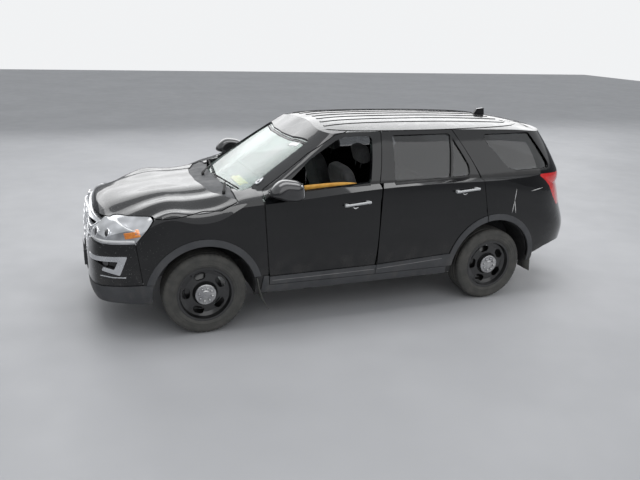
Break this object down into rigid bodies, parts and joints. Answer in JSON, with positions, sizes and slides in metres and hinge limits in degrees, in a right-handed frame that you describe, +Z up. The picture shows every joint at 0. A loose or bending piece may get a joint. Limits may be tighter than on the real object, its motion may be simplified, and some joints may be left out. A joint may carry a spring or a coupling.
{
  "type": "police patrol car",
  "caption": "Full-size patrol SUV with opening doors, hood and liftgate, steered front wheels, steel wheels, matte arch flares and a ribbed roof.",
  "frame": {"origin": "on the floor under the middle of the car's length and width", "axes": "+X forward, +Y to the car's left, +Z up"},
  "size_m": [5.0365, 2.292, 1.7972],
  "materials": {
    "paint": "gloss black paint",
    "dark_trim": "matte dark grey moulding",
    "gloss_black": "gloss black",
    "grille_metal": "satin silver",
    "lamp_glass": "clear lens",
    "red_lamp": "red lens",
    "glass": "clear green tint",
    "dark_glass": "privacy tint",
    "underbody": "matte coating",
    "cabin_trim": "grained",
    "seat_cloth": "woven",
    "engine": "cast",
    "chassis_steel": "black coated",
    "exhaust_steel": "dull",
    "flap_rubber": "matte",
    "wheel_steel": "satin black",
    "tyre": "worn matte"
  },
  "bodies": {
    "body": {"floor_pan": "underbody", "body_side_left": "paint", "body_side_right": "paint", "roof_panel": "paint", "front_fenders": "paint", "front_bumper": "paint", "front_valance": "dark_trim", "grille": "grille_metal", "headlamps": "lamp_glass", "plate_bracket": "dark_trim", "rear_bumper": "paint", "tail_lamps": "red_lamp", "body_mouldings": "dark_trim", "arch_linings": "dark_trim", "windscreen": "glass", "quarter_glasses": "dark_glass", "dashboard": "cabin_trim", "front_seats": "seat_cloth", "rear_seat": "seat_cloth", "engine_block": "engine", "front_suspension": "chassis_steel", "rear_suspension": "chassis_steel", "exhaust": "exhaust_steel", "mud_flaps": "flap_rubber", "cowl_panel": "dark_trim", "wipers": "dark_trim", "bumper_bezels": "grille_metal"},
    "hood": {"hood": "paint"},
    "liftgate": {"liftgate": "paint", "liftgate_glass": "dark_glass"},
    "door_front_left": {"door_front_left": "paint", "door_trim_front_left": "dark_trim", "mirror_left": "gloss_black"},
    "door_front_right": {"door_front_right": "paint", "door_trim_front_right": "dark_trim", "mirror_right": "gloss_black", "door_glass_front_right": "glass"},
    "door_rear_left": {"door_rear_left": "paint", "door_trim_rear_left": "dark_trim", "door_glass_rear_left": "dark_glass"},
    "door_rear_right": {"door_rear_right": "paint", "door_trim_rear_right": "dark_trim", "door_glass_rear_right": "dark_glass"},
    "knuckle_left": {"knuckle_left": "chassis_steel"},
    "knuckle_right": {"knuckle_right": "chassis_steel"},
    "wheel_front_left": {"wheel_front_left": "wheel_steel", "tyre_front_left": "tyre"},
    "wheel_front_right": {"wheel_front_right": "wheel_steel", "tyre_front_right": "tyre"},
    "wheel_rear_left": {"wheel_rear_left": "wheel_steel", "tyre_rear_left": "tyre"},
    "wheel_rear_right": {"wheel_rear_right": "wheel_steel", "tyre_rear_right": "tyre"},
    "steering": {"steering_wheel": "cabin_trim"}
  },
  "joints": [
    {"name": "steer_left", "type": "hinge", "parent": "body", "child": "knuckle_left", "pos_m": [1.573, 0.78, 0.363], "axis": [0, 0, 1], "range_deg": [-35, 35]},
    {"name": "steer_right", "type": "hinge", "parent": "body", "child": "knuckle_right", "pos_m": [1.573, -0.78, 0.363], "axis": [0, 0, 1], "range_deg": [-35, 35]},
    {"name": "steering_wheel_turn", "type": "hinge", "parent": "body", "child": "steering", "pos_m": [0.64, 0.385, 0.99], "axis": [-0.9135, 0, 0.4067], "range_deg": [-540, 540]},
    {"name": "roll_front_left", "type": "hinge", "parent": "knuckle_left", "child": "wheel_front_left", "pos_m": [1.573, 0.851, 0.363], "axis": [0, 1, 0], "continuous": true},
    {"name": "roll_front_right", "type": "hinge", "parent": "knuckle_right", "child": "wheel_front_right", "pos_m": [1.573, -0.851, 0.363], "axis": [0, 1, 0], "continuous": true},
    {"name": "roll_rear_left", "type": "hinge", "parent": "body", "child": "wheel_rear_left", "pos_m": [-1.287, 0.851, 0.363], "axis": [0, 1, 0], "continuous": true},
    {"name": "roll_rear_right", "type": "hinge", "parent": "body", "child": "wheel_rear_right", "pos_m": [-1.287, -0.851, 0.363], "axis": [0, 1, 0], "continuous": true},
    {"name": "open_door_front_left", "type": "hinge", "parent": "body", "child": "door_front_left", "pos_m": [1.04, 1.002, 0.8], "axis": [0, 0, -1], "range_deg": [0, 68]},
    {"name": "open_door_front_right", "type": "hinge", "parent": "body", "child": "door_front_right", "pos_m": [1.04, -1.002, 0.8], "axis": [0, 0, 1], "range_deg": [0, 68]},
    {"name": "open_door_rear_left", "type": "hinge", "parent": "body", "child": "door_rear_left", "pos_m": [-0.06, 1.002, 0.8], "axis": [0, 0, -1], "range_deg": [0, 70]},
    {"name": "open_door_rear_right", "type": "hinge", "parent": "body", "child": "door_rear_right", "pos_m": [-0.06, -1.002, 0.8], "axis": [0, 0, 1], "range_deg": [0, 70]},
    {"name": "open_hood", "type": "hinge", "parent": "body", "child": "hood", "pos_m": [1.262, 0, 1.196], "axis": [0, -1, 0], "range_deg": [0, 55]},
    {"name": "open_liftgate", "type": "hinge", "parent": "body", "child": "liftgate", "pos_m": [-1.888, 0, 1.712], "axis": [0, 1, 0], "range_deg": [0, 82]}
  ],
  "couplings": [
    {"joint": "steer_right", "follows": "steer_left", "ratio": 1},
    {"joint": "steering_wheel_turn", "follows": "steer_left", "ratio": 15.4}
  ]
}
